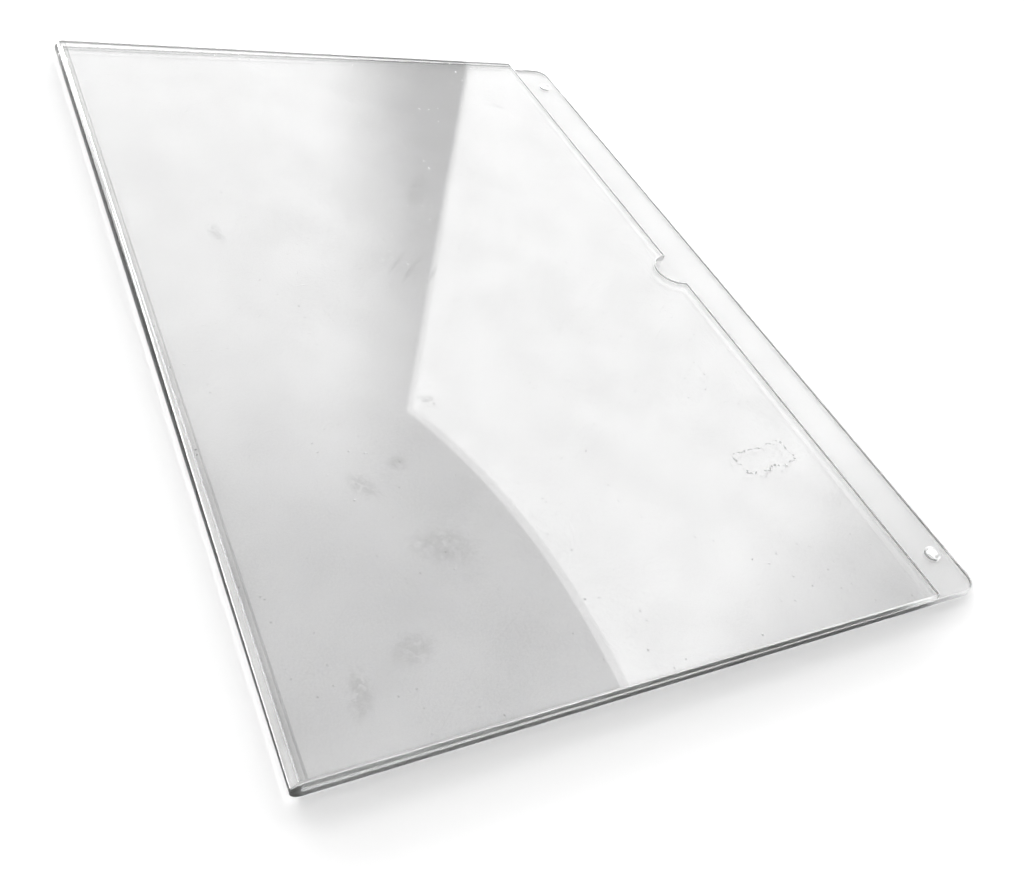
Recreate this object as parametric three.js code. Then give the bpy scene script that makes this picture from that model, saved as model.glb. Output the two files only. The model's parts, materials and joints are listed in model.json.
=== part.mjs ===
// A wall-mounted sign holder, folded from one sheet of clear acrylic and lying on its back.
// Millimetres, +Z up. X runs from the fold to the screw flange and Y runs along the fold.
// The back face is on Z = 0, and the outline is centred on X = 0 and Y = 0.
// The sheet is split along its fold and at its flange: the back leaf holds the back panel,
// the screw flange and the back half of the fold, and the front leaf holds the front half of
// the fold and the front panel, which springs open about the fold's axis.
import * as THREE from 'three';

// Driving dimensions
const SHEET = 3;                // thickness of the acrylic
const INSERT_WIDTH = 215.9;     // a legal-size insert, measured across the pocket
const INSERT_LENGTH = 355.6;    // the same insert, measured along the fold
const WIDTH_PLAY = 5.9;         // pocket depth beyond the insert's width
const LENGTH_PLAY = 1.4;        // sheet length beyond the insert's length
const FLANGE = 22.2;            // how far the back leaf shows beyond the front panel
const POCKET_AT_FOLD = 1.3;     // clear gap between the panels beside the fold
const POCKET_AT_MOUTH = 0.3;    // the same gap at the front panel's free edge
const FLANGE_CORNER = 6.35;     // radius of the flange's outer corners
const FRONT_CORNER = 1.2;       // radius of the front panel's free corners
const NOTCH_RADIUS = 9.5;       // half-round thumb notch in the front panel's free edge
const NOTCH_LIP = 0.8;          // rounding where the notch meets the free edge
const HOLE_DIAMETER = 4.8;      // screw holes in the flange
const HOLE_EDGE_INSET = 7.5;    // hole centre to the flange's outer edge
const HOLE_END_INSET = 17.5;    // hole centre to the sheet's short end
const SEAM = 0.4;               // clearance where the one sheet is split into parts

// Worked out from them
const POCKET_DEPTH = INSERT_WIDTH + WIDTH_PLAY;
const WIDTH = SHEET + POCKET_DEPTH + FLANGE;
const LENGTH = INSERT_LENGTH + LENGTH_PLAY;
const INNER_RADIUS = POCKET_AT_FOLD / 2;
const OUTER_RADIUS = INNER_RADIUS + SHEET;
const FOLD_X = -WIDTH / 2 + OUTER_RADIUS;
const FOLD_Z = OUTER_RADIUS;
const OUTER_EDGE_X = WIDTH / 2;
const FREE_EDGE_X = OUTER_EDGE_X - FLANGE;
const FRONT_REACH = FREE_EDGE_X - FOLD_X;
const CLOSING_ANGLE = Math.asin((POCKET_AT_FOLD - POCKET_AT_MOUTH) / FRONT_REACH);
const HALF_SEAM_ANGLE = SEAM / 2 / OUTER_RADIUS;

// Facets on round features
const BEND_FACETS = 16;
const OUTLINE_FACETS = 16;

const HALF_TURN = Math.PI;
const QUARTER_TURN = Math.PI / 2;

function clearAcrylic(color) {
  return new THREE.MeshStandardMaterial({
    color,
    roughness: 0.06,
    metalness: 0,
    transparent: true,
    opacity: 0.35,
  });
}

// A flat part of the sheet: an outline in X and Y, SHEET thick upwards from its own Z = 0.
function flatPart(name, outline, color) {
  const geometry = new THREE.ExtrudeGeometry(outline, {
    depth: SHEET,
    bevelEnabled: false,
    curveSegments: OUTLINE_FACETS,
  });
  const part = new THREE.Mesh(geometry, clearAcrylic(color));
  part.name = name;
  return part;
}

// Half of the fold: a quarter ring in section around the group's own Y axis, as long as the
// sheet. Angles are measured from +X towards +Z.
function foldHalf(name, startAngle, endAngle, color) {
  const section = new THREE.Shape();
  section.absarc(0, 0, OUTER_RADIUS, startAngle, endAngle, false);
  section.absarc(0, 0, INNER_RADIUS, endAngle, startAngle, true);
  section.closePath();
  const geometry = new THREE.ExtrudeGeometry(section, {
    depth: LENGTH,
    bevelEnabled: false,
    curveSegments: BEND_FACETS,
  });
  const half = new THREE.Mesh(geometry, clearAcrylic(color));
  half.name = name;
  // The section's Y becomes Z, and the extrusion runs towards -Y.
  half.rotation.x = QUARTER_TURN;
  half.position.y = LENGTH / 2;
  return half;
}

// Back panel: the part of the back leaf that the front panel covers.
function backPanel() {
  const outline = new THREE.Shape();
  outline.moveTo(FOLD_X + SEAM, -LENGTH / 2);
  outline.lineTo(FREE_EDGE_X, -LENGTH / 2);
  outline.lineTo(FREE_EDGE_X, LENGTH / 2);
  outline.lineTo(FOLD_X + SEAM, LENGTH / 2);
  outline.closePath();
  return flatPart('back_panel', outline, 0xdfe6e6);
}

function screwHole(side) {
  const hole = new THREE.Path();
  const centreX = OUTER_EDGE_X - HOLE_EDGE_INSET;
  const centreY = side * (LENGTH / 2 - HOLE_END_INSET);
  hole.absarc(centreX, centreY, HOLE_DIAMETER / 2, 0, 2 * Math.PI, true);
  return hole;
}

// Screw flange: the strip beyond the front panel, with a plain screw hole near each end.
function screwFlange() {
  const outline = new THREE.Shape();
  const rootX = FREE_EDGE_X + SEAM;
  const cornerX = OUTER_EDGE_X - FLANGE_CORNER;
  const cornerY = LENGTH / 2 - FLANGE_CORNER;
  outline.moveTo(rootX, LENGTH / 2);
  outline.lineTo(rootX, -LENGTH / 2);
  outline.absarc(cornerX, -cornerY, FLANGE_CORNER, -QUARTER_TURN, 0, false);
  outline.absarc(cornerX, cornerY, FLANGE_CORNER, 0, QUARTER_TURN, false);
  outline.closePath();
  for (const side of [-1, 1]) {
    outline.holes.push(screwHole(side));
  }
  return flatPart('screw_flange', outline, 0xc9d6d8);
}

// Half-round thumb notch in a free edge at edgeX, drawn in the direction of growing Y,
// with a small rounded lip at each end.
function thumbNotch(outline, edgeX) {
  const lipY = Math.sqrt((NOTCH_RADIUS + NOTCH_LIP) ** 2 - NOTCH_LIP ** 2);
  const lipAngle = Math.atan2(lipY, NOTCH_LIP);
  outline.absarc(edgeX - NOTCH_LIP, -lipY, NOTCH_LIP, 0, lipAngle, false);
  outline.absarc(edgeX, 0, NOTCH_RADIUS, HALF_TURN + lipAngle, HALF_TURN - lipAngle, true);
  outline.absarc(edgeX - NOTCH_LIP, lipY, NOTCH_LIP, -lipAngle, 0, false);
}

// Front panel, in the front leaf's own frame, where X starts at the fold's axis.
function frontPanel() {
  const outline = new THREE.Shape();
  const cornerX = FRONT_REACH - FRONT_CORNER;
  const cornerY = LENGTH / 2 - FRONT_CORNER;
  outline.moveTo(SEAM, LENGTH / 2);
  outline.lineTo(SEAM, -LENGTH / 2);
  outline.absarc(cornerX, -cornerY, FRONT_CORNER, -QUARTER_TURN, 0, false);
  thumbNotch(outline, FRONT_REACH);
  outline.absarc(cornerX, cornerY, FRONT_CORNER, 0, QUARTER_TURN, false);
  outline.closePath();
  const panel = flatPart('front_panel', outline, 0xe8eeee);
  panel.position.z = INNER_RADIUS;
  return panel;
}

function backFoldHalf() {
  const half = foldHalf('fold_back', HALF_TURN + HALF_SEAM_ANGLE, HALF_TURN + QUARTER_TURN,
    0xd3dcdd);
  half.position.x = FOLD_X;
  half.position.z = FOLD_Z;
  return half;
}

function frontFoldHalf() {
  return foldHalf('fold_front', QUARTER_TURN, HALF_TURN - HALF_SEAM_ANGLE, 0xdce4e4);
}

// Front leaf: turned a little past parallel about the fold's axis, so that the pocket
// narrows to its mouth. It opens about the same axis.
function frontLeaf() {
  const leaf = new THREE.Group();
  leaf.name = 'front_leaf';
  leaf.position.set(FOLD_X, 0, FOLD_Z);
  leaf.rotation.y = CLOSING_ANGLE;
  leaf.add(frontFoldHalf(), frontPanel());
  return leaf;
}

function backLeaf() {
  const leaf = new THREE.Group();
  leaf.name = 'back_leaf';
  leaf.add(backPanel(), screwFlange(), backFoldHalf());
  return leaf;
}

const holder = new THREE.Group();
holder.name = 'folded_sign_holder';
holder.add(backLeaf(), frontLeaf());

export default holder;
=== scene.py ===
import json
import math

import bmesh
import bpy
from mathutils import Euler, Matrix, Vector
from mathutils.geometry import delaunay_2d_cdt
from mathutils.kdtree import KDTree


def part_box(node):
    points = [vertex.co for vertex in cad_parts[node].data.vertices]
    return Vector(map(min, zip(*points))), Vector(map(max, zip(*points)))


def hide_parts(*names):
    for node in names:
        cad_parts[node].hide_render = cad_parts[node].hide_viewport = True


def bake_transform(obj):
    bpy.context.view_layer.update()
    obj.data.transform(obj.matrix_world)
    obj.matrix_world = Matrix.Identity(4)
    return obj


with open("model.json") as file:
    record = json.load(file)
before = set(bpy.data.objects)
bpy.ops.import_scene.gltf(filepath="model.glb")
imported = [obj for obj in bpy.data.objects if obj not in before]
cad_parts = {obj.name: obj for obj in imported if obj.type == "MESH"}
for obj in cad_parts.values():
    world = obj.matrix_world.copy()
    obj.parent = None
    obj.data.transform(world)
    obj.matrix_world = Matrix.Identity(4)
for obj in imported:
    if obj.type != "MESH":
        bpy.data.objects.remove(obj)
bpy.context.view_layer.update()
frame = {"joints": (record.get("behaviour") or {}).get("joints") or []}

# One millimetre, in the metres that the frame uses
MM = 0.001

# Sizes of the folded sheet, from the frame
FLANGE_LOW, FLANGE_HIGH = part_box("screw_flange")
FRONT_LOW, FRONT_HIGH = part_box("front_panel")
FOLD_CENTRE = Vector(frame["joints"][0]["pos_m"])
SHEET = FLANGE_HIGH.z
LENGTH = FLANGE_HIGH.y - FLANGE_LOW.y
OUTER_EDGE = FLANGE_HIGH.x
OUTER_RADIUS = FOLD_CENTRE.z
INNER_RADIUS = OUTER_RADIUS - SHEET
POCKET_AT_FOLD = 2 * INNER_RADIUS
POCKET_AT_MOUTH = FRONT_LOW.z - SHEET
FRONT_REACH = FRONT_HIGH.x - FOLD_CENTRE.x
CLOSING_ANGLE = math.asin((POCKET_AT_FOLD - POCKET_AT_MOUTH) / FRONT_REACH)

# Sizes that the frame doesn't give as a box
FLANGE_CORNER = 6.35 * MM
FRONT_CORNER = 1.2 * MM
NOTCH_RADIUS = 9.5 * MM
NOTCH_LIP = 0.8 * MM
HOLE_RADIUS = 2.4 * MM
HOLE_EDGE_INSET = 7.5 * MM
HOLE_END_INSET = 17.5 * MM

# The flat sheet before it is bent. S runs across it from the flange's outer edge.
BACK_SPAN = OUTER_EDGE - FOLD_CENTRE.x
BEND_ANGLE = math.pi + CLOSING_ANGLE
BEND_SPAN = BEND_ANGLE * (OUTER_RADIUS + INNER_RADIUS) / 2
FRONT_START = BACK_SPAN + BEND_SPAN
FLAT_WIDTH = FRONT_START + FRONT_REACH

# Material slot of the sheet's rims. The faces keep the first slot.
CUT_EDGE = 1

# Mesh spacing: wide squares on the flat faces, with narrow strips beside the bend and the rims,
# which keep the shading of the flat faces flat
GRID = 8 * MM
BEND_STEPS = 24
BEND_BORDER = 0.4 * MM
ARC_STEP = math.radians(7.5)
ARRIS = 0.35 * MM
ARRIS_STEPS = 3
BORDER = 0.3 * MM
RIM_CLEARANCE = 0.4 * GRID
JOIN_FACE_ANGLE = 0.01
JOIN_SHAPE_ANGLE = 0.7
MESH_TOLERANCE = 1e-7
# Lets whole steps fit a span in spite of rounding
ROUNDING_ROOM = 1.001

# The camera: its place in metres, its turn in degrees and its lens in millimetres
CAMERA_PLACE = (-0.1783, -0.2772, 0.2368)
CAMERA_TURN = (45.29, -14.904, -25.115)
CAMERA_LENS = 35.766
CAMERA_NEAR = 0.01

# The floor, just under the sheet
FLOOR_DEPTH = -0.1 * MM
FLOOR_HALF_WIDTH = 6
FLOOR_TONE = 0.8

# The light comes from the world, painted by direction. A height is the Z of a unit direction, a
# turn is in degrees from +X towards +Y, and a strength is a multiple of white. A pair of values
# says where a light starts to change and where it has changed.

# A softbox beyond the part, which the front panel mirrors: straight at its left, with a top edge
# that sags in the middle
PANEL_TOP_SLOPE = 1.4527
PANEL_TOP_TURN = 9
PANEL_TOP_DROP = 0.0225
PANEL_TOP_SAG = 0.0358
PANEL_MIDDLE = 45.5
PANEL_HALF_WIDTH = 0.15
PANEL_LEFT = 62.44
PANEL_LEFT_LEAN = 0.067
PANEL_RIGHT = 33
PANEL_SOFTNESS = 0.006
PANEL_RIGHT_SOFTNESS = 0.2
PANEL_HEIGHTS = (0.4, 0.75)
PANEL_STRENGTHS = (1.4, 1.9)

# A softer one to the left of it, whose edge leans
SIDE_PANEL_STRENGTH = 1.4
SIDE_PANEL_EDGE = 62
SIDE_PANEL_SOFTNESS = 0.12
SIDE_PANEL_LEAN = 0.35
SIDE_PANEL_UPRIGHT_HEIGHT = 0.45
SIDE_PANEL_TOP = (0.82, 0.64)

# A strong low light behind both, which shines through the sheet's edges
LOW_LIGHT_STRENGTH = 16
LOW_LIGHT_TOP = (0.36, 0.24)
LOW_LIGHT_TURN = 60
LOW_LIGHT_SIDES = (0.2, 0.9)

# A round key light high in front: turn, elevation and radius in degrees
KEY_STRENGTH = 2.6
KEY_TURN = 235
KEY_ELEVATION = 62
KEY_REACH = 24
KEY_SOFTNESS = 0.04

# The pale room, which is darker higher up
ROOM_HEIGHTS = (0.1, 0.4)
ROOM_STRENGTHS = (0.65, 0.35)

# The acrylic. A clearness is the share of the light that a face lets through, and a loss is
# taken from it.
REFRACTION = 1.49
CLEARNESS = 0.985
EDGE_CLEARNESS = 0.98
ABSORPTION_TONE = 0.5
ABSORPTION_DENSITY = 24
# Painted shade: the whole bend is darkened, standing in for the shade under the fold
BEND_EDGE = FOLD_CENTRE.x + 0.4 * MM
BEND_SOFTNESS = 0.6 * MM
BEND_PAINTED_SHADE = 0.17
# A dark line of painted shade along the bend's edge, on the front panel's outer face
SHADE_LINE_WIDTHS = (0.5 * MM, 0.15 * MM)
SHADE_LINE_LOSS = 0.45
# The flange is made a little greyer
FLANGE_SOFTNESS = 1 * MM
FLANGE_LOSS = 0.035
RIPPLE_GRAIN = 45
RIPPLE_HEIGHT = 0.01 * MM

# Patterns all over the acrylic: their size in millimetres, the range of the noise that is used,
# and the loss or roughness at the two ends of that range
GRAIN_SIZE = 0.6
GRAIN_RANGE = (0.2, 0.8)
GRAIN_LOSS = (-0.03, 0.03)
CLOUD_SIZE = 24
CLOUD_RANGE = (0.3, 0.7)
CLOUD_LOSS = (-0.013, 0.013)
WIPED_SIZE = 18
WIPED_RANGE = (0.4, 0.8)
WIPED_ROUGHNESS = (0.004, 0.03)
TOOL_MARK_SIZE = 0.9
TOOL_MARK_RANGE = (0.3, 0.7)
TOOL_MARK_ROUGHNESS = (0.35, 0.55)
TOOL_MARK_STRENGTH = 0.4
TOOL_MARK_HEIGHT = 0.03 * MM

# Marks of handling, with painted reflection streaks among the smudges, only on the front panel's
# outer face, which lies above these two heights: loss, roughness and, where they are raised, height
OUTER_FACE = (1.6 * SHEET, 1.7 * SHEET)
MARK_LOSS = {"smudge_and_reflection": 0.15, "glue": 0.85, "dust": 0.8, "hairline": 0.12}
MARK_ROUGHNESS = {"smudge_and_reflection": 0.15, "glue": 0.5, "dust": 0.5, "hairline": 0.2}
MARK_HEIGHT = {"glue": 0.02 * MM, "dust": 0.05 * MM}

# Smudges and painted reflection streaks, as centre, half size and turn, in millimetres and degrees
SMUDGES_AND_REFLECTIONS = (
    ((-88.5, 36.5), (4, 9), 9),
    ((-82, -151), (9, 7), 20),
    ((-100, -160), (5, 12), -15),
    ((-76, -93), (5, 9), 30),
    ((-62, -86), (5, 4), 0),
    ((-41, -61), (4, 6), 50),
    ((-60, -120), (16, 9), -20),
    ((75, 134), (6, 4), 10),
    # The four long thin streaks below are painted reflections of the room beside the softbox's
    # mirrored edge
    ((-20, 10), (15, 1.6), 47),
    ((-25, 14), (12, 1.2), 47),
    ((-14, 5), (10, 1.2), 47),
    ((2, 62), (18, 5), 60),
)
SPOT_FADE = (1.0, 0.2)
SPOT_BREAKUP_GRAIN = 3.5
SPOT_BREAKUP_RANGE = (0.32, 0.58)

# The outline of glue from a sticker, in millimetres and degrees
RESIDUE_CENTRE = (73, -109)
RESIDUE_HALF_SIZE = (12.5, 5)
RESIDUE_TURN = 5
RESIDUE_WOBBLE = 5
RESIDUE_WOBBLE_GRAIN = 3
RESIDUE_LINE = (0.55, 0.25)
RESIDUE_GAP_GRAIN = 1.6
RESIDUE_GAP_RANGE = (0.5, 0.55)
NOISE_MIDDLE = 0.5

# Dust: cell size in millimetres, grain radius as a share of it, and the share of empty cells
SPECK_CELL = 5
SPECK_RADIUS = (0.085, 0.05)
SPECK_EMPTY_SHARE = 0.75
SPECK_DRIFT_GRAIN = 30
SPECK_DRIFT_RANGE = (0.46, 0.6)

# Hairlines: turn in degrees and scale in millimetres of each set
HAIRLINE_SETS = ((28, 23), (-52, 31))
HAIRLINE_WAVES = 0.5
HAIRLINE_WANDER = 2.5
HAIRLINE_THINNESS = 0.99985
HAIRLINE_GAP_GRAIN = 22
HAIRLINE_GAP_RANGE = (0.52, 0.62)


def even_steps(start, end, step):
    """Places from start up to, but without, end, no more than step apart."""
    count = max(1, math.ceil((end - start) / step))
    return [start + (end - start) * i / count for i in range(count)]


def grid_across():
    """Places of the mesh lines that run along the fold: fine across the bend, wide elsewhere."""
    lines = even_steps(0, BACK_SPAN - BEND_BORDER, GRID)
    lines.append(BACK_SPAN - BEND_BORDER)
    lines += even_steps(BACK_SPAN, FRONT_START, BEND_SPAN / BEND_STEPS * ROUNDING_ROOM)
    lines.append(FRONT_START)
    lines += even_steps(FRONT_START + BEND_BORDER, FLAT_WIDTH, GRID)
    lines.append(FLAT_WIDTH)
    return lines


def grid_along():
    """Places of the mesh lines that run across the fold."""
    return even_steps(-LENGTH / 2, LENGTH / 2, GRID) + [LENGTH / 2]


def arc(centre, radius, start, end, hollow=False):
    """An arc of the outline as points with normals that face out of the sheet."""
    count = max(2, math.ceil(abs(end - start) / ARC_STEP))
    points = []
    for i in range(count + 1):
        angle = start + (end - start) * i / count
        ray = Vector((math.cos(angle), math.sin(angle)))
        normal = -ray if hollow else ray
        points.append((Vector(centre) + radius * ray, normal))
    return points


def side(start, end, normal, places, axis):
    """The grid's places on a straight side, without the side's own ends."""
    low = min(start[axis], end[axis])
    high = max(start[axis], end[axis])
    inner = [place for place in places if low + ARRIS < place < high - ARRIS]
    if start[axis] > end[axis]:
        inner.reverse()
    points = []
    for place in inner:
        point = Vector(start)
        point[axis] = place
        points.append((point, Vector(normal)))
    return points


def thumb_notch():
    """The half-round notch in the front panel's free edge, with a rounded lip at each end."""
    lip_y = math.sqrt((NOTCH_RADIUS + NOTCH_LIP) ** 2 - NOTCH_LIP ** 2)
    lip_angle = math.atan2(lip_y, NOTCH_LIP)
    lip_s = FLAT_WIDTH - NOTCH_LIP
    near_lip = arc((lip_s, -lip_y), NOTCH_LIP, 0, lip_angle)
    bowl = arc((FLAT_WIDTH, 0), NOTCH_RADIUS, math.pi + lip_angle, math.pi - lip_angle, hollow=True)
    far_lip = arc((lip_s, lip_y), NOTCH_LIP, -lip_angle, 0)
    return near_lip + bowl[1:-1] + far_lip


def outline():
    """The flat sheet's outline, anticlockwise from the flange's near corner."""
    half = LENGTH / 2
    across = grid_across()
    along = grid_along()
    front_s = FLAT_WIDTH - FRONT_CORNER
    front_y = half - FRONT_CORNER
    flange_y = half - FLANGE_CORNER
    quarter = math.pi / 2
    notch = thumb_notch()
    points = side((FLANGE_CORNER, -half), (front_s, -half), (0, -1), across, 0)
    points += arc((front_s, -front_y), FRONT_CORNER, -quarter, 0)
    points += side((FLAT_WIDTH, -front_y), notch[0][0], (1, 0), along, 1)
    points += notch
    points += side(notch[-1][0], (FLAT_WIDTH, front_y), (1, 0), along, 1)
    points += arc((front_s, front_y), FRONT_CORNER, 0, quarter)
    points += side((front_s, half), (FLANGE_CORNER, half), (0, 1), across, 0)
    points += arc((FLANGE_CORNER, flange_y), FLANGE_CORNER, quarter, 2 * quarter)
    points += side((0, flange_y), (0, -flange_y), (-1, 0), along, 1)
    points += arc((FLANGE_CORNER, -flange_y), FLANGE_CORNER, 2 * quarter, 3 * quarter)
    return points


def hole_centres():
    """The screw holes' centres on the flat sheet."""
    return [Vector((HOLE_EDGE_INSET, end * (LENGTH / 2 - HOLE_END_INSET))) for end in (-1, 1)]


def screw_hole(centre):
    """A hole's outline, clockwise, so that its wall faces inwards."""
    return arc(centre, HOLE_RADIUS, 2 * math.pi, 0, hollow=True)[:-1]


def edge_profile():
    """Steps of the rim in section, as (inset from the cut edge, depth from the outer face)."""
    arris = []
    for i in range(ARRIS_STEPS + 1):
        turn = math.pi / 2 * i / ARRIS_STEPS
        arris.append((ARRIS * (1 - math.sin(turn)), ARRIS * (1 - math.cos(turn))))
    lower = [(ARRIS + BORDER, 0)] + arris + [(0, ARRIS + BORDER)]
    upper = [(inset, SHEET - depth) for inset, depth in reversed(lower)]
    return lower + upper


def add_rim(mesh, loop):
    """Adds the rim of one closed loop, and returns its first and last rings of vertices."""
    rings = []
    for inset, depth in edge_profile():
        ring = []
        for point, normal in loop:
            place = point - normal * inset
            ring.append(mesh.verts.new((place.x, place.y, depth)))
        rings.append(ring)
    for lower, upper in zip(rings, rings[1:]):
        for i in range(len(loop)):
            j = (i + 1) % len(loop)
            wall = mesh.faces.new((lower[i], lower[j], upper[j], upper[i]))
            wall.material_index = CUT_EDGE
    return rings[0], rings[-1]


def grid_points(rims):
    """Grid points of the flat sheet, without those that would crowd a rim."""
    rim_places = [vertex.co for rim in rims for vertex in rim]
    tree = KDTree(len(rim_places))
    for index, place in enumerate(rim_places):
        tree.insert((place.x, place.y, 0), index)
    tree.balance()
    grid = [Vector((s, y)) for s in grid_across() for y in grid_along()]
    return [point for point in grid if tree.find((point.x, point.y, 0))[2] > RIM_CLEARANCE]


def in_a_hole(point):
    """True inside the innermost ring of a screw hole's rim."""
    reach = HOLE_RADIUS + ARRIS + BORDER
    return any((point - centre).length < reach for centre in hole_centres())


def fill_face(mesh, rims, depth):
    """Fills one face of the flat sheet, between its rims, with a grid of triangles."""
    rim_vertices = [vertex for rim in rims for vertex in rim]
    edges = []
    for rim in rims:
        start = len(edges)
        edges += [(start + i, start + (i + 1) % len(rim)) for i in range(len(rim))]
    places = [vertex.co.to_2d() for vertex in rim_vertices] + grid_points(rims)
    found, _, triangles, origins, _, _ = delaunay_2d_cdt(places, edges, [], 1, MESH_TOLERANCE)
    vertices = {i: rim_vertices[o[0]] for i, o in enumerate(origins) if o[0] < len(rim_vertices)}
    faces = []
    for triangle in triangles:
        middle = sum((found[i] for i in triangle), Vector((0, 0))) / 3
        if in_a_hole(middle):
            continue
        for i in triangle:
            if i not in vertices:
                vertices[i] = mesh.verts.new((found[i].x, found[i].y, depth))
        faces.append(mesh.faces.new([vertices[i] for i in triangle]))
    return faces


def bent(place):
    """Where a point of the flat sheet comes to lie on the folded one."""
    s, y, depth = place
    if s <= BACK_SPAN:
        return Vector((OUTER_EDGE - s, y, depth))
    turned = min(1, (s - BACK_SPAN) / BEND_SPAN) * BEND_ANGLE
    radius = OUTER_RADIUS - depth
    out = Vector((-math.sin(turned), 0, -math.cos(turned)))
    place = Vector((FOLD_CENTRE.x, y, FOLD_CENTRE.z)) + radius * out
    if s > FRONT_START:
        onward = Vector((-math.cos(turned), 0, math.sin(turned)))
        place += (s - FRONT_START) * onward
    return place


def folded_sheet():
    """The whole sheet as one closed skin: laid out flat, rimmed, filled and then folded."""
    mesh = bmesh.new()
    loops = [outline()] + [screw_hole(centre) for centre in hole_centres()]
    rims = [add_rim(mesh, loop) for loop in loops]
    outer_face = fill_face(mesh, [outer for outer, inner in rims], 0)
    inner_face = fill_face(mesh, [inner for outer, inner in rims], SHEET)
    bmesh.ops.reverse_faces(mesh, faces=outer_face)
    bmesh.ops.join_triangles(
        mesh,
        faces=outer_face + inner_face,
        angle_face_threshold=JOIN_FACE_ANGLE,
        angle_shape_threshold=JOIN_SHAPE_ANGLE,
    )
    for vertex in mesh.verts:
        vertex.co = bent(vertex.co)
    # Folding mirrors the flat layout, so every face is turned over
    bmesh.ops.reverse_faces(mesh, faces=mesh.faces)
    for face in mesh.faces:
        face.smooth = True
    data = bpy.data.meshes.new("folded_sheet")
    mesh.to_mesh(data)
    mesh.free()
    piece = bpy.data.objects.new("folded_sheet", data)
    bpy.context.scene.collection.objects.link(piece)
    return piece


class Nodes:
    """A node tree with short ways to add the few kinds of node used here."""

    def __init__(self, tree):
        self.tree = tree

    def add(self, kind, **settings):
        node = self.tree.nodes.new("ShaderNode" + kind)
        for name, value in settings.items():
            setattr(node, name, value)
        return node

    def feed(self, source, target):
        self.tree.links.new(source, target)

    def put(self, target, value):
        """Links a socket, or sets a plain value."""
        if isinstance(value, bpy.types.NodeSocket):
            self.feed(value, target)
        else:
            target.default_value = value

    def math(self, operation, first, second=0.0):
        node = self.add("Math", operation=operation)
        self.put(node.inputs[0], first)
        self.put(node.inputs[1], second)
        return node.outputs[0]

    def total(self, values):
        result = values[0]
        for value in values[1:]:
            result = self.math("ADD", result, value)
        return result

    def largest(self, values):
        result = values[0]
        for value in values[1:]:
            result = self.math("MAXIMUM", result, value)
        return result

    def fade(self, value, start, end, low=0.0, high=1.0):
        """Rises or falls smoothly from low at start to high at end, and is level beyond."""
        node = self.add("MapRange", interpolation_type="SMOOTHSTEP")
        self.put(node.inputs["Value"], value)
        node.inputs["From Min"].default_value = start
        node.inputs["From Max"].default_value = end
        node.inputs["To Min"].default_value = low
        node.inputs["To Max"].default_value = high
        return node.outputs["Result"]

    def along(self, vector, direction):
        """How far a vector reaches in a direction."""
        node = self.add("VectorMath", operation="DOT_PRODUCT")
        self.feed(vector, node.inputs[0])
        node.inputs[1].default_value = direction
        return node.outputs["Value"]

    def local(self, vector, centre, size, turn=0.0):
        """Coordinates that are 1 at the given size, in millimetres, away from a centre."""
        node = self.add("Mapping", vector_type="TEXTURE")
        self.feed(vector, node.inputs["Vector"])
        node.inputs["Location"].default_value = (centre[0] * MM, centre[1] * MM, 0)
        node.inputs["Rotation"].default_value = (0, 0, math.radians(turn))
        node.inputs["Scale"].default_value = (size[0] * MM, size[1] * MM, 1)
        return node.outputs["Vector"]

    def noise(self, vector, grain, detail=2.0, roughness=0.5, distortion=0.0):
        """Noise with features about as large as the grain, in millimetres."""
        node = self.add("TexNoise")
        self.feed(vector, node.inputs["Vector"])
        node.inputs["Scale"].default_value = 1 / (grain * MM)
        node.inputs["Detail"].default_value = detail
        node.inputs["Roughness"].default_value = roughness
        node.inputs["Distortion"].default_value = distortion
        return node.outputs["Fac"]


def spot(nodes, place, centre, size, turn):
    """A soft oval patch: 1 in its middle, 0 at its rim."""
    oval = nodes.local(place, centre, size, turn)
    length = nodes.add("VectorMath", operation="LENGTH")
    nodes.feed(oval, length.inputs[0])
    return nodes.fade(length.outputs["Value"], *SPOT_FADE)


def smudge_and_reflection_spots(nodes, place):
    """Finger marks and cloudy wiped patches, with long dark streaks that are painted reflections of
    the room.
    """
    spots = [spot(nodes, place, *smudge_and_reflection) for smudge_and_reflection in SMUDGES_AND_REFLECTIONS]
    breakup = nodes.fade(nodes.noise(place, SPOT_BREAKUP_GRAIN, detail=5, distortion=1.5), *SPOT_BREAKUP_RANGE)
    return nodes.math("MULTIPLY", nodes.largest(spots), breakup)


def residue(nodes, place):
    """The broken outline of glue that a small sticker left behind."""
    label = nodes.local(place, RESIDUE_CENTRE, (1, 1), RESIDUE_TURN)
    wobble = nodes.math("SUBTRACT", nodes.noise(place, RESIDUE_WOBBLE_GRAIN), NOISE_MIDDLE)
    wobble = nodes.math("MULTIPLY", wobble, RESIDUE_WOBBLE)
    parts = nodes.add("SeparateXYZ")
    nodes.feed(label, parts.inputs[0])
    beyond = [
        nodes.math("SUBTRACT", nodes.math("ABSOLUTE", parts.outputs[axis]), half)
        for axis, half in zip("XY", RESIDUE_HALF_SIZE)
    ]
    off_line = nodes.math("ABSOLUTE", nodes.math("ADD", nodes.largest(beyond), wobble))
    line = nodes.fade(off_line, *RESIDUE_LINE)
    gaps = nodes.fade(nodes.noise(place, RESIDUE_GAP_GRAIN, detail=3), *RESIDUE_GAP_RANGE)
    return nodes.math("MULTIPLY", line, gaps)


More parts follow.
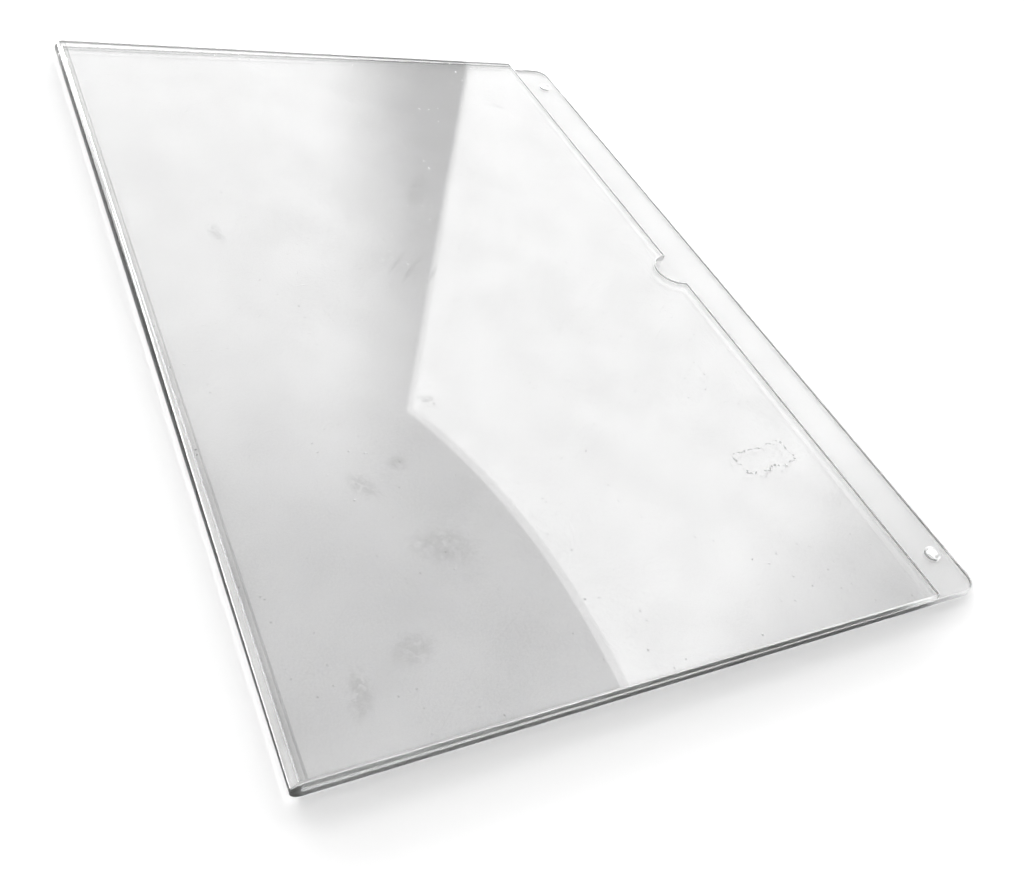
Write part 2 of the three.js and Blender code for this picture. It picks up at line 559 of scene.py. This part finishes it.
def specks(nodes, place):
    """Sparse dust, one grain in a few of the cells."""
    cells = nodes.add("TexVoronoi", voronoi_dimensions="2D")
    nodes.feed(place, cells.inputs["Vector"])
    cells.inputs["Scale"].default_value = 1 / (SPECK_CELL * MM)
    grain = nodes.fade(cells.outputs["Distance"], *SPECK_RADIUS)
    parts = nodes.add("SeparateColor")
    nodes.feed(cells.outputs["Color"], parts.inputs[0])
    chosen = nodes.math("GREATER_THAN", parts.outputs["Red"], SPECK_EMPTY_SHARE)
    drifts = nodes.fade(nodes.noise(place, SPECK_DRIFT_GRAIN), *SPECK_DRIFT_RANGE)
    return nodes.math("MULTIPLY", nodes.math("MULTIPLY", grain, chosen), drifts)


def scratches(nodes, place):
    """A few faint hairlines in two directions."""
    lines = []
    for turn, scale in HAIRLINE_SETS:
        bands = nodes.add("TexWave", wave_profile="SIN")
        nodes.feed(nodes.local(place, (0, 0), (scale, scale), turn), bands.inputs["Vector"])
        bands.inputs["Scale"].default_value = HAIRLINE_WAVES
        bands.inputs["Distortion"].default_value = HAIRLINE_WANDER
        bands.inputs["Detail"].default_value = 1
        lines.append(nodes.fade(bands.outputs["Fac"], HAIRLINE_THINNESS, 1))
    gaps = nodes.fade(nodes.noise(place, HAIRLINE_GAP_GRAIN), *HAIRLINE_GAP_RANGE)
    return nodes.math("MULTIPLY", nodes.largest(lines), gaps)


def on_front_face(nodes, place):
    """1 on the front panel's outer face, 0 on the faces below it."""
    return nodes.fade(nodes.along(place, (0, 0, 1)), *OUTER_FACE)


def handling_marks_and_reflections(nodes, place):
    """The marks of handling by name, each 1 where it is and 0 elsewhere. The smudges hold painted
    reflection streaks.
    """
    everywhere = {
        # The smudges include dark streaks that are painted reflections of the room
        "smudge_and_reflection": smudge_and_reflection_spots(nodes, place),
        "glue": residue(nodes, place),
        "dust": specks(nodes, place),
        "hairline": scratches(nodes, place),
    }
    outside = on_front_face(nodes, place)
    return {name: nodes.math("MULTIPLY", mark, outside) for name, mark in everywhere.items()}


def weighted(nodes, marks, weights):
    """Each mark times its own weight."""
    return [nodes.math("MULTIPLY", marks[name], weight) for name, weight in weights.items()]


def object_place(nodes):
    """The point's place on the sheet, which moves with it."""
    return nodes.add("TexCoord").outputs["Object"]


def neutral(nodes, value):
    """A grey of the given value."""
    node = nodes.add("CombineColor")
    for channel in node.inputs:
        nodes.feed(value, channel)
    return node.outputs["Color"]


def acrylic_shader(name, tint):
    """A clear material with its shader and the means to add to its nodes."""
    material = bpy.data.materials.new(name)
    material.use_nodes = True
    shader = material.node_tree.nodes["Principled BSDF"]
    shader.inputs["Base Color"].default_value = (tint, tint, tint, 1)
    shader.inputs["IOR"].default_value = REFRACTION
    shader.inputs["Transmission Weight"].default_value = 1
    nodes = Nodes(material.node_tree)
    # Light that runs along inside the sheet is slowly lost
    loss = nodes.add("VolumeAbsorption")
    loss.inputs["Color"].default_value = (ABSORPTION_TONE, ABSORPTION_TONE, ABSORPTION_TONE, 1)
    loss.inputs["Density"].default_value = ABSORPTION_DENSITY
    nodes.feed(loss.outputs["Volume"], material.node_tree.nodes["Material Output"].inputs["Volume"])
    return material, shader, nodes


def bump(nodes, shader, height, strength, distance):
    """Gives a shader's surface small relief."""
    relief = nodes.add("Bump")
    relief.inputs["Strength"].default_value = strength
    relief.inputs["Distance"].default_value = distance
    nodes.feed(height, relief.inputs["Height"])
    nodes.feed(relief.outputs["Normal"], shader.inputs["Normal"])


def region_losses(nodes, place):
    """What painted shade over the bend, a painted shade line beside it and a slightly greyer flange
    take from the light.
    """
    across = nodes.along(place, (1, 0, 0))
    # Painted shade over the bend
    bend = nodes.fade(across, BEND_EDGE, BEND_EDGE - BEND_SOFTNESS)
    # A painted shade line along the bend's edge, on the front panel's outer face only
    off_shade_line = nodes.math("ABSOLUTE", nodes.math("SUBTRACT", across, BEND_EDGE))
    shade_line = nodes.fade(off_shade_line, *SHADE_LINE_WIDTHS)
    shade_line = nodes.math("MULTIPLY", shade_line, on_front_face(nodes, place))
    flange = nodes.fade(across, FRONT_HIGH.x, FRONT_HIGH.x + FLANGE_SOFTNESS)
    return [
        nodes.math("MULTIPLY", bend, BEND_PAINTED_SHADE),
        nodes.math("MULTIPLY", shade_line, SHADE_LINE_LOSS),
        nodes.math("MULTIPLY", flange, FLANGE_LOSS),
    ]


def pattern_losses(nodes, place):
    """Fine grain and faint clouds, which take a little from the light or give it back."""
    grain = nodes.noise(place, GRAIN_SIZE, detail=1)
    cloud = nodes.noise(place, CLOUD_SIZE, detail=5, roughness=0.6)
    return [
        nodes.fade(grain, *GRAIN_RANGE, *GRAIN_LOSS),
        nodes.fade(cloud, *CLOUD_RANGE, *CLOUD_LOSS),
    ]


def clear_acrylic():
    """The polished faces: nearly smooth, with marks of handling, painted reflection streaks, painted
    shade over the bend and along its edge, and a slightly greyer flange.
    """
    material, shader, nodes = acrylic_shader("clear_acrylic", CLEARNESS)
    place = object_place(nodes)
    marks = handling_marks_and_reflections(nodes, place)
    loss = nodes.total(
        weighted(nodes, marks, MARK_LOSS) + region_losses(nodes, place) + pattern_losses(nodes, place)
    )
    # The base colour holds painted shade over the bend and along its edge, and painted reflection
    # streaks
    nodes.feed(neutral(nodes, nodes.math("SUBTRACT", CLEARNESS, loss)), shader.inputs["Base Color"])
    wiped = nodes.noise(place, WIPED_SIZE, detail=4, distortion=0.6)
    wiped = nodes.fade(wiped, *WIPED_RANGE, *WIPED_ROUGHNESS)
    dull = nodes.largest(weighted(nodes, marks, MARK_ROUGHNESS) + [wiped])
    nodes.feed(dull, shader.inputs["Roughness"])
    ripple = nodes.math("MULTIPLY", nodes.noise(place, RIPPLE_GRAIN, detail=0), RIPPLE_HEIGHT)
    height = nodes.total([ripple] + weighted(nodes, marks, MARK_HEIGHT))
    bump(nodes, shader, height, strength=1, distance=1)
    return material


def cut_edge():
    """The sawn and scraped rims: the same acrylic with fine tool marks."""
    material, shader, nodes = acrylic_shader("cut_edge", EDGE_CLEARNESS)
    marks = nodes.noise(object_place(nodes), TOOL_MARK_SIZE, detail=3)
    rough = nodes.fade(marks, *TOOL_MARK_RANGE, *TOOL_MARK_ROUGHNESS)
    nodes.feed(rough, shader.inputs["Roughness"])
    bump(nodes, shader, marks, strength=TOOL_MARK_STRENGTH, distance=TOOL_MARK_HEIGHT)
    return material


def floor():
    """A plain pale floor, wide enough to fill every view."""
    mesh = bmesh.new()
    half = FLOOR_HALF_WIDTH
    corners = [(-half, -half), (half, -half), (half, half), (-half, half)]
    mesh.faces.new([mesh.verts.new((x, y, FLOOR_DEPTH)) for x, y in corners])
    data = bpy.data.meshes.new("floor")
    mesh.to_mesh(data)
    mesh.free()
    plane = bpy.data.objects.new("floor", data)
    bpy.context.scene.collection.objects.link(plane)
    material = bpy.data.materials.new("floor")
    material.use_nodes = True
    shader = material.node_tree.nodes["Principled BSDF"]
    shader.inputs["Base Color"].default_value = (FLOOR_TONE, FLOOR_TONE, FLOOR_TONE, 1)
    shader.inputs["Roughness"].default_value = 1
    shader.inputs["Specular IOR Level"].default_value = 0
    data.materials.append(material)


def camera():
    """The camera, looking down along the sheet from its near left corner."""
    data = bpy.data.cameras.new("camera")
    data.lens = CAMERA_LENS
    data.clip_start = CAMERA_NEAR
    thing = bpy.data.objects.new("camera", data)
    thing.location = CAMERA_PLACE
    thing.rotation_euler = Euler([math.radians(angle) for angle in CAMERA_TURN])
    bpy.context.scene.collection.objects.link(thing)
    bpy.context.scene.camera = thing


def facing(turn):
    """A level direction at an angle from +X towards +Y."""
    return Vector((math.cos(math.radians(turn)), math.sin(math.radians(turn)), 0))


def softbox(nodes, ray, height):
    """The softbox that the front panel mirrors."""
    below_top = nodes.along(ray, PANEL_TOP_SLOPE * facing(PANEL_TOP_TURN) - Vector((0, 0, 1)))
    off_middle = nodes.along(ray, facing(PANEL_MIDDLE + 90) / PANEL_HALF_WIDTH)
    sag = nodes.math("SUBTRACT", 1, nodes.math("MULTIPLY", off_middle, off_middle))
    sag = nodes.math("MULTIPLY", sag, PANEL_TOP_SAG)
    inside_left = nodes.along(ray, -facing(PANEL_LEFT + 90) - Vector((0, 0, PANEL_LEFT_LEAN)))
    inside_right = nodes.along(ray, facing(PANEL_RIGHT + 90))
    panel = nodes.math("SUBTRACT", below_top, sag)
    panel = nodes.fade(panel, PANEL_TOP_DROP, PANEL_TOP_DROP + PANEL_SOFTNESS)
    panel = nodes.math("MULTIPLY", panel, nodes.fade(inside_left, 0, PANEL_SOFTNESS))
    panel = nodes.math("MULTIPLY", panel, nodes.fade(inside_right, -PANEL_RIGHT_SOFTNESS, 0))
    strength = nodes.fade(height, *PANEL_HEIGHTS, *PANEL_STRENGTHS)
    return nodes.math("MULTIPLY", panel, strength)


def side_softbox(nodes, ray, height):
    """The softer light to the left of the softbox."""
    lean = nodes.math("SUBTRACT", height, SIDE_PANEL_UPRIGHT_HEIGHT)
    lean = nodes.math("MULTIPLY", lean, SIDE_PANEL_LEAN)
    past_edge = nodes.math("ADD", nodes.along(ray, facing(SIDE_PANEL_EDGE + 90)), lean)
    panel = nodes.math(
        "MULTIPLY",
        nodes.fade(past_edge, 0, SIDE_PANEL_SOFTNESS),
        nodes.fade(height, *SIDE_PANEL_TOP),
    )
    return nodes.math("MULTIPLY", panel, SIDE_PANEL_STRENGTH)


def low_light(nodes, ray, height):
    """The strong light near the horizon, behind both softboxes."""
    beyond = nodes.along(ray, facing(LOW_LIGHT_TURN))
    low = nodes.fade(height, *LOW_LIGHT_TOP)
    low = nodes.math("MULTIPLY", low, nodes.fade(beyond, *LOW_LIGHT_SIDES))
    return nodes.math("MULTIPLY", low, LOW_LIGHT_STRENGTH)


def key_light(nodes, ray):
    """The round light high in front."""
    elevation = math.radians(KEY_ELEVATION)
    middle = Vector((0, 0, math.sin(elevation))) + facing(KEY_TURN) * math.cos(elevation)
    rim = math.cos(math.radians(KEY_REACH))
    key = nodes.fade(nodes.along(ray, middle), rim, rim + KEY_SOFTNESS)
    return nodes.math("MULTIPLY", key, KEY_STRENGTH)


def surroundings():
    """A pale room with two softboxes beyond the part, a low light and a key light."""
    world = bpy.data.worlds.new("studio")
    world.use_nodes = True
    nodes = Nodes(world.node_tree)
    ray = nodes.add("TexCoord").outputs["Generated"]
    height = nodes.along(ray, (0, 0, 1))
    light = nodes.total([
        softbox(nodes, ray, height),
        side_softbox(nodes, ray, height),
        low_light(nodes, ray, height),
        key_light(nodes, ray),
        nodes.fade(height, *ROOM_HEIGHTS, *ROOM_STRENGTHS),
    ])
    background = world.node_tree.nodes["Background"]
    nodes.feed(light, background.inputs["Strength"])
    background.inputs["Color"].default_value = (1, 1, 1, 1)
    bpy.context.scene.world = world
    bpy.context.scene.view_settings.view_transform = "Standard"
    # Without this the light that reaches the floor through the clear sheet is lost
    bpy.context.scene.cycles.blur_glossy = 0


camera()
floor()
surroundings()
sheet = folded_sheet()
sheet.data.materials.append(clear_acrylic())
sheet.data.materials.append(cut_edge())
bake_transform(sheet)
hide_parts("back_panel", "screw_flange", "fold_back", "fold_front", "front_panel")
